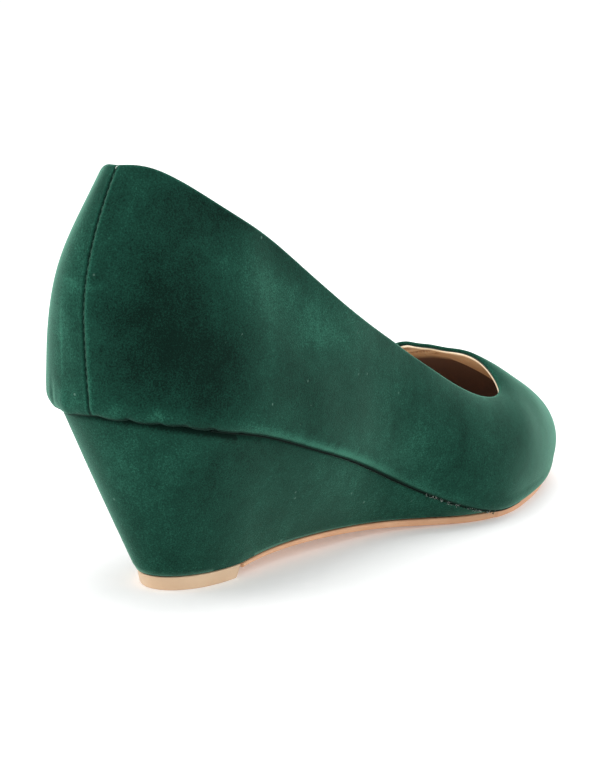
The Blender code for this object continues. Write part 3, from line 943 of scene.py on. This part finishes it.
EDGE_STATIONS = 300
WEDGE_TIP = 0.655
WEDGE_INSET = 0.0008
WAIST_END = 0.72
FOOT_LENGTH = 0.0254
FOOT_WIDTH = 0.0250
FOOT_SETBACK = 0.0268
BREAST = FOOT_SETBACK + FOOT_LENGTH
FOOT_ROUNDNESS = 2.1
TOP_PIECE_THICKNESS = 0.0038
SOLE_REAR_THICKNESS = 0.0011
ARCH_RISE = 0.0017
FLAT_REAR = 0.64
WEDGE_RUNGS = 260
SIDE_RAILS = 36
SIDE_CROWD = 1.4
FLAT_RAILS = 6

# The sides' belly, full where they are BELLY_TALL; the edges' radius, and how much of a low
# side it may take; and the groove under the upper, which runs out ahead of the heel
WEDGE_BELLY = 0.0004
BELLY_TALL = 0.02
WEDGE_EDGE = 0.00025
EDGE_SHARE = 0.3
WEDGE_GROOVE = 0.0017
GROOVE_TALL = 0.0016
GROOVE_END = (0.050, 0.050 / 3)

# The wedge's pile: its level, lighter towards the front, a painted sheen down the back and painted shade
# darkest in the groove under the upper, each with the x between which it fades in; and strokes in the same
# columns as the upper's table, by x and by how far they are under the upper
WEDGE_PILE = 0.05
FRONT_PILE = 0.15
FRONT_X = (0.05, 0.10)
BACK_PAINTED_SHEEN = 0.25
BACK_X = (0.045, 0.015)
BACK_WIDE = 0.010
BACK_Y = -0.004
GROOVE_PAINTED_SHADE = -1.6
GROOVE_X = (0.09, 0.04)
GROOVE_REACH = 0.0015
WEDGE_NAP = (
    (35, 6, 20, 10, 0, -0.35),
    (90, 18, 6, 5, 0, 0.30),
)


def arch_share(x):
    """1 at the foot's front, 0 from the flat of the forefoot on."""
    rear = FLAT_REAR * SHOE_LENGTH
    return np.clip((rear - x) / (rear - BREAST), 0, 1)


def sole_under(x):
    """Height of the outsole's underside: the arch, the flat and the toe spring."""
    share = arch_share(x)
    start = TOP_PIECE_THICKNESS - SOLE_REAR_THICKNESS
    hump = share**2 * (1 - share) * 27 / 4
    return start * ease(share) + ARCH_RISE * hump + toe_spring(x)


def sole_thickness(x):
    """The outsole thins towards the heel."""
    return SOLE_THICKNESS + (SOLE_REAR_THICKNESS - SOLE_THICKNESS) * arch_share(x)


def foot_half_width(x):
    """Half the width of the wedge's foot at x: round at the back, straight at the front."""
    share = np.clip((x - FOOT_SETBACK) / FOOT_LENGTH, 0, 1)
    return FOOT_WIDTH / 2 * (1 - (1 - share)**FOOT_ROUNDNESS)**(1 / 2)


def drawn_in(x, wide):
    """Half the sole's width at x, where the upper's half width is wide: narrow at the waist."""
    share = ease(x, BREAST, WAIST_END * SHOE_LENGTH)
    return foot_half_width(x) * (1 - share) + wide * share


def run_along(edge, start, end, count):
    """Points at even steps along an edge, between two places along the shoe."""
    walked = walk_length(edge[:, :2])
    first, last = np.interp([start, end], edge[:, 0], walked)
    if end >= edge[-1, 0]:
        last = walked[-1]
    at = np.linspace(first, last, count)
    return np.column_stack([np.interp(at, walked, column) for column in edge.T])


def wedge_edges(rungs):
    """The wedge's top edge under the upper and its lower edge, for the outer and inner side."""
    feather, _, out, _ = stations(EDGE_STATIONS)
    tip = WEDGE_TIP * SHOE_LENGTH
    sides = []
    for edge in both_edges(inset(feather, out, WEDGE_INSET)):
        upper = run_along(edge, edge[0, 0], tip, rungs)
        upper[:, 2] = feather_height(upper[:, 0]) - GAP
        side = "outer" if upper[-1, 1] < 0 else "inner"
        upper[:, 2] += np.maximum(edge_lift(side, walk_length(upper)), 0)
        along = (upper[:, 0] - upper[0, 0]) / (tip - upper[0, 0])
        x = FOOT_SETBACK + (tip - FOOT_SETBACK) * along
        half = drawn_in(x, np.interp(x, upper[:, 0], np.abs(upper[:, 1])))
        level = np.where(x < BREAST, TOP_PIECE_THICKNESS, sole_under(x) + sole_thickness(x)) + GAP
        lower = np.column_stack([x, np.sign(upper[:, 1]) * half, level])
        sides.append((upper, lower))
    return sides


outer, inner = wedge_edges(WEDGE_RUNGS)
rails = []
for (upper, lower), turned in ((outer, False), (inner, True)):
    side = upper - lower
    tall = np.linalg.norm(side, axis=1)[:, None]
    along = np.gradient(upper, axis=0) + np.gradient(lower, axis=0)
    face = unit(np.cross(along, side))
    face *= np.sign((face[:, 1] * upper[:, 1]).sum())
    face[0] = unit(np.array([-side[0, 2], 0, side[0, 0]]))
    groove = (WEDGE_GROOVE - WEDGE_EDGE) * ease(upper[:, :1], *GROOVE_END)
    round_off = np.minimum(WEDGE_EDGE, tall * EDGE_SHARE)
    column = []
    for share in np.linspace(0, 1, SIDE_RAILS)**SIDE_CROWD:
        point = upper - side * share
        end = np.minimum(share, 1 - share) * tall
        back = np.maximum(1 - end / round_off, 0)
        inward = round_off * (1 - np.sqrt(np.maximum(1 - back**2, 0)))
        inward += groove * (1 - ease(share * tall, 0, GROOVE_TALL))
        belly = WEDGE_BELLY * np.minimum(tall / BELLY_TALL, 1) * np.sin(np.pi * share)
        column.append(point + face * (belly - inward))
    rails.append(column[::-1] if turned else column)
lower_rails = across(rails[0][-1], rails[1][0], FLAT_RAILS)
upper_rails = across(rails[1][-1], rails[0][0], FLAT_RAILS)
rails = rails[0] + lower_rails + rails[1] + upper_rails
x, y, z = np.array(rails).transpose(2, 0, 1)
below = feather_height(x) - z
nap = blobs(WEDGE_NAP, x, below) + WEDGE_PILE + FRONT_PILE * ease(x, *FRONT_X)
# A painted sheen down the back, and painted shade in the groove under the upper's edge
nap += BACK_PAINTED_SHEEN * near(y, BACK_WIDE, BACK_Y) * ease(x, *BACK_X)
nap += GROOVE_PAINTED_SHADE * near(np.maximum(below, 0), GROOVE_REACH) * ease(x, *GROOVE_X)
wedge_velvet = new_piece("wedge_velvet", *lofted(rails, cap_front=True), [("nap", nap.T)])
wedge_velvet.data.materials.append(velvet_material("velvet_wedge", 45.0))
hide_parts("wedge")
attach(wedge_velvet, "root")

# The cement at the wedge's front seam, and a painted shadow along the seam.
# Where the wedge runs out under the upper, a little grey cement and cut pile show in the seam. A near-black
# bead under the upper's edge on both sides is painted shadow for the gap there.

# The crumbs' run along the edge, the places in it with fewer than CRUMBS_BELOW each, how far
# they scatter and stand out and up, their lengths and their radii
CRUMBS_FROM = 0.139
CRUMBS_TO = 0.170
CRUMB_PLACES = 80
CRUMBS_BELOW = 5
CRUMB_SCATTER = 0.00014
CRUMB_OUT = (0.0001, 0.0009)
CRUMB_UP = (-0.0006, 0.0002)
CRUMB_LENGTHS = (0.00015, 0.00045)
CRUMB_RADII = (0.000052, 0.00013)

# The near-black bead behind them: painted shadow in the gap under the upper's edge, on both sides
BEAD_FROM = 0.030
BEAD_TO = 0.188
BEAD_THICK = 0.0005
BEAD_OUT = 0.0002
BEAD_DOWN = 0.0001
CEMENT_GREY = (0.30, 0.34, 0.31)
GAP_SHADOW_BLACK = (0.005, 0.007, 0.006)


def seam_line_at(side, distances):
    """Places on the lower edge and ways out of it, at distances from the back seam."""
    edge = both_edges(form[0])[side == "inner"]
    ways = both_edges(form[2])[side == "inner"]
    walked = walk_length(edge)
    line, out_at = (np.column_stack([np.interp(distances, walked, column) for column in values.T])
                    for values in (edge, ways))
    return line + UP * np.maximum(edge_lift(side, distances), 0)[:, None], out_at


rng = np.random.default_rng(11)
crumbs = []
for place, out_way in zip(*seam_line_at("outer", np.linspace(CRUMBS_FROM, CRUMBS_TO, CRUMB_PLACES))):
    for _ in range(rng.integers(0, CRUMBS_BELOW)):
        shift = rng.normal(0, CRUMB_SCATTER, 3)
        along = unit(rng.normal(0, 1, 3))
        middle = place + out_way * rng.uniform(*CRUMB_OUT) + UP * rng.uniform(*CRUMB_UP) + shift
        reach = along * rng.uniform(*CRUMB_LENGTHS) / 2
        crumbs.append(tube([middle - reach, middle, middle + reach], rng.uniform(*CRUMB_RADII), sides=5))
# A near-black bead along both sides of the seam: painted shadow for the gap under the upper's edge
beads = []
for side in ("outer", "inner"):
    line, out_at = seam_line_at(side, np.linspace(BEAD_FROM, BEAD_TO, 200))
    beads.append(tube(line + out_at * BEAD_OUT - UP * BEAD_DOWN, BEAD_THICK / 2, sides=8))
gap_shadow_bead = new_piece("gap_shadow_bead", *joined(beads))
cement_crumbs = new_piece("cement_crumbs", *joined(crumbs))
cement, tree, shader = new_material("cement", Specular_IOR_Level=0.1)
fine = noise(tree, 600.0, 3.0)
feed(tree, shader, Base_Color=blend(tree, fine, 0.58, 0.42, CEMENT_GREY, VELVET_MIDDLE),
     Roughness=map_range(tree, fine, 0.3, 0.7, 0.6, 0.9))
cement_crumbs.data.materials.append(cement)
gap_shadow_material, tree, shader = new_material("gap_shadow_dark", Specular_IOR_Level=0.05, Roughness=0.9)
feed(tree, shader, Base_Color=mix_colour(tree, noise(tree, 1200.0), GAP_SHADOW_BLACK, VELVET_DARK))
gap_shadow_bead.data.materials.append(gap_shadow_material)
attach(gap_shadow_bead, "root")
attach(cement_crumbs, "root")

# The outsole.
# A thin sheet of tan soling with its edge trimmed. It thins under the arch, ends at the top piece, and is
# cemented to the wedge and the forefoot.

SOLE_INSET = 0.0004
SOLE_EDGE = 0.0005
SOLE_RUNGS = 200
EDGE_RAILS = 9
SOLE_RAILS = 8
SOLE_TAN = (0.72, 0.385, 0.215)
SOLE_PALE = (0.80, 0.46, 0.27)
SOLE_SPECK = (0.50, 0.24, 0.12)

feather, _, out, _ = stations(EDGE_STATIONS)
tip = WEDGE_TIP * SHOE_LENGTH
sides = []
for edge, (_, lower) in zip(both_edges(inset(feather, out, SOLE_INSET)), wedge_edges(WEDGE_RUNGS)):
    under = run_along(lower, BREAST + GAP, tip, SOLE_RUNGS)
    fore = run_along(edge, tip, edge[-1, 0], SOLE_RUNGS)
    fore[:, 1] = np.sign(fore[:, 1]) * drawn_in(fore[:, 0], np.abs(fore[:, 1]))
    plan = np.vstack([under, fore[1:]])[:, :2]
    turn = np.gradient(plan, axis=0)
    aside = unit(np.column_stack([turn[:, 1], -turn[:, 0]]))
    aside *= np.sign((aside[:, 1] * plan[:, 1]).sum())
    sides.append((plan, aside))
columns = []
for plan, aside in sides:
    deep = sole_under(plan[:, 0])
    thick = sole_thickness(plan[:, 0])
    column = []
    for angle in np.radians(np.linspace(-90, 90, EDGE_RAILS)):
        place = plan - aside * SOLE_EDGE * (1 - np.cos(angle))
        middle = deep + SOLE_EDGE if angle < 0 else deep + thick - SOLE_EDGE
        if angle == 0:
            column.append(np.column_stack([plan, deep + SOLE_EDGE]))
        column.append(np.column_stack([place, middle + SOLE_EDGE * np.sin(angle)]))
    columns.append(column)
rails = columns[0] + across(columns[0][-1], columns[1][-1], SOLE_RAILS)
rails += columns[1][::-1] + across(columns[1][0], columns[0][0], SOLE_RAILS)
outsole_tan = new_piece("outsole_tan", *lofted(rails, cap_rear=True))
soling, tree, shader = new_material("soling", Specular_IOR_Level=0.35)
fine = noise(tree, 1400.0, 3.0, 0.6)
tan = blend(tree, noise(tree, 70.0, 3.0), 0.35, 0.7, SOLE_TAN, SOLE_PALE)
feed(tree, shader, Base_Color=blend(tree, fine, 0.62, 0.80, tan, SOLE_SPECK, most=0.5),
     Roughness=map_range(tree, fine, 0.3, 0.7, 0.45, 0.62))
bump(tree, shader, fine, 0.00010, strength=0.5)
outsole_tan.data.materials.append(soling)
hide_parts("outsole")
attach(outsole_tan, "root")

# The top piece.
# A pale moulded wearing piece pinned and stuck under the wedge's foot, with a rounded back
# and a straight front that leans a little.

TOP_PIECE_INSET = 0.0006
TOP_PIECE_TAPER = 0.0016
TOP_PIECE_SIDE_TAPER = 0.0006
BREAST_SLANT = 0.0010
TOP_PIECE_BEVEL = 0.00035
TOP_PIECE_STEPS = 40
TOP_PIECE_SHARP = 35
TOP_PIECE_PALE = (0.66, 0.45, 0.285)
TOP_PIECE_LIGHT = (0.73, 0.52, 0.34)
TOP_PIECE_SPECK = (0.5, 0.32, 0.18)

back = np.cos(np.linspace(0, np.pi / 2, TOP_PIECE_STEPS))
half = foot_half_width(BREAST - FOOT_LENGTH * back) * (1 - TOP_PIECE_INSET / (FOOT_WIDTH / 2))
x = BREAST - (FOOT_LENGTH - TOP_PIECE_INSET) * back
outline = np.vstack([np.column_stack([x, -half]), np.column_stack([x, half])[:0:-1]])
count = len(outline)
shorter = 1 - (TOP_PIECE_TAPER + BREAST_SLANT) / FOOT_LENGTH
narrower = 1 - TOP_PIECE_SIDE_TAPER / (FOOT_WIDTH / 2)
lower_x = BREAST - BREAST_SLANT - (BREAST - outline[:, 0]) * shorter
lower = np.column_stack([lower_x, outline[:, 1] * narrower, np.zeros(count)])
upper = np.column_stack([outline, np.full(count, TOP_PIECE_THICKNESS)])
faces = wrap_faces(2, count, rows_close=False)
faces += [tuple(range(count)), tuple(range(count, 2 * count))]
top_piece_rubber = new_piece("top_piece_rubber", np.vstack([lower, upper]), faces,
                             sharp_degrees=TOP_PIECE_SHARP)
bevel = top_piece_rubber.modifiers.new("bevel", "BEVEL")
bevel.width = TOP_PIECE_BEVEL
bevel.segments = 3
bevel.angle_limit = np.radians(TOP_PIECE_SHARP)
rubber, tree, shader = new_material("heel_rubber", Specular_IOR_Level=0.45)
fine = noise(tree, 900.0, 3.0, 0.6)
pale = blend(tree, noise(tree, 90.0, 3.0), 0.3, 0.7, TOP_PIECE_PALE, TOP_PIECE_LIGHT)
feed(tree, shader, Base_Color=blend(tree, fine, 0.66, 0.8, pale, TOP_PIECE_SPECK, most=0.4),
     Roughness=map_range(tree, fine, 0.3, 0.7, 0.36, 0.5))
bump(tree, shader, fine, 0.00008, strength=0.4)
top_piece_rubber.data.materials.append(rubber)
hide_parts("top_piece")
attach(top_piece_rubber, "root")

# The table, the soft light and the camera.
# A plain white table that glows a little, lit evenly from all round and by large soft boxes.

TABLE_SIZE = 60.0
TABLE_WHITE = (0.86, 0.86, 0.86)
TABLE_LIGHT = (0.89, 0.89, 0.89)
TABLE_GLOW = 0.18

# The lamps: name, place, size and power
LAMPS = (
    ("overhead", (0.1, 0.2, 1.4), 1.2, 11),
    ("left_rear", (-1.0, 0.8, 0.9), 0.8, 6),
    ("right_front", (0.9, -0.9, 0.9), 0.8, 3),
)
LAMPS_AIM = (0, 0, 0.05)

# The camera faces CAMERA_AIM, a place in the form's own coordinates, apart from its shift.
# Degrees, and millimetres for lens and sensor.
CAMERA_AIM = (0.115, 0.0, 0.045)
CAMERA_TURN = 29.67
CAMERA_RISE = 10.91
CAMERA_ROLL = -2.98
CAMERA_DISTANCE = 0.64617
CAMERA_LENS = 108.5
CAMERA_SENSOR = 36
CAMERA_SHIFT = (-0.0417, -0.0159)

bpy.ops.mesh.primitive_plane_add(size=TABLE_SIZE, location=(0, 0, 0))
table_top = bpy.context.object
table_top.name = "table_top"
paper, tree, shader = new_material("white_paper", Roughness=0.9, Specular_IOR_Level=0.1,
                                   Emission_Color=(1, 1, 1, 1), Emission_Strength=TABLE_GLOW)
feed(tree, shader, Base_Color=blend(tree, noise(tree, 300.0, 3.0), 0.3, 0.7, TABLE_WHITE, TABLE_LIGHT))
table_top.data.materials.append(paper)

world = bpy.data.worlds.new("studio")
bpy.context.scene.world = world
world.use_nodes = True
background = world.node_tree.nodes["Background"]
background.inputs["Color"].default_value = (1.0, 1.0, 1.0, 1.0)
background.inputs["Strength"].default_value = 1.0

for name, place, size, power in LAMPS:
    light = bpy.data.lights.new(name, "AREA")
    light.shape = "SQUARE"
    light.size = size
    light.energy = power
    lamp = placed(name, light)
    lamp.location = place
    lamp.rotation_euler = (Vector(LAMPS_AIM) - Vector(place)).to_track_quat("-Z", "Y").to_euler()

turn, rise, roll = np.radians([CAMERA_TURN, CAMERA_RISE, CAMERA_ROLL])
facing = (Matrix.Rotation(turn - np.pi / 2, 4, "Z") @ Matrix.Rotation(np.pi / 2 - rise, 4, "X")
          @ Matrix.Rotation(-roll, 4, "Z"))
camera = placed("camera", bpy.data.cameras.new("camera"))
camera.data.lens = CAMERA_LENS
camera.data.sensor_width = CAMERA_SENSOR
camera.data.shift_x, camera.data.shift_y = CAMERA_SHIFT
camera.matrix_world = facing
camera.location = np.array(CAMERA_AIM) - CENTRE + np.array(facing.col[2][:3]) * CAMERA_DISTANCE
bpy.context.scene.camera = camera
bpy.context.scene.view_settings.view_transform = "Standard"
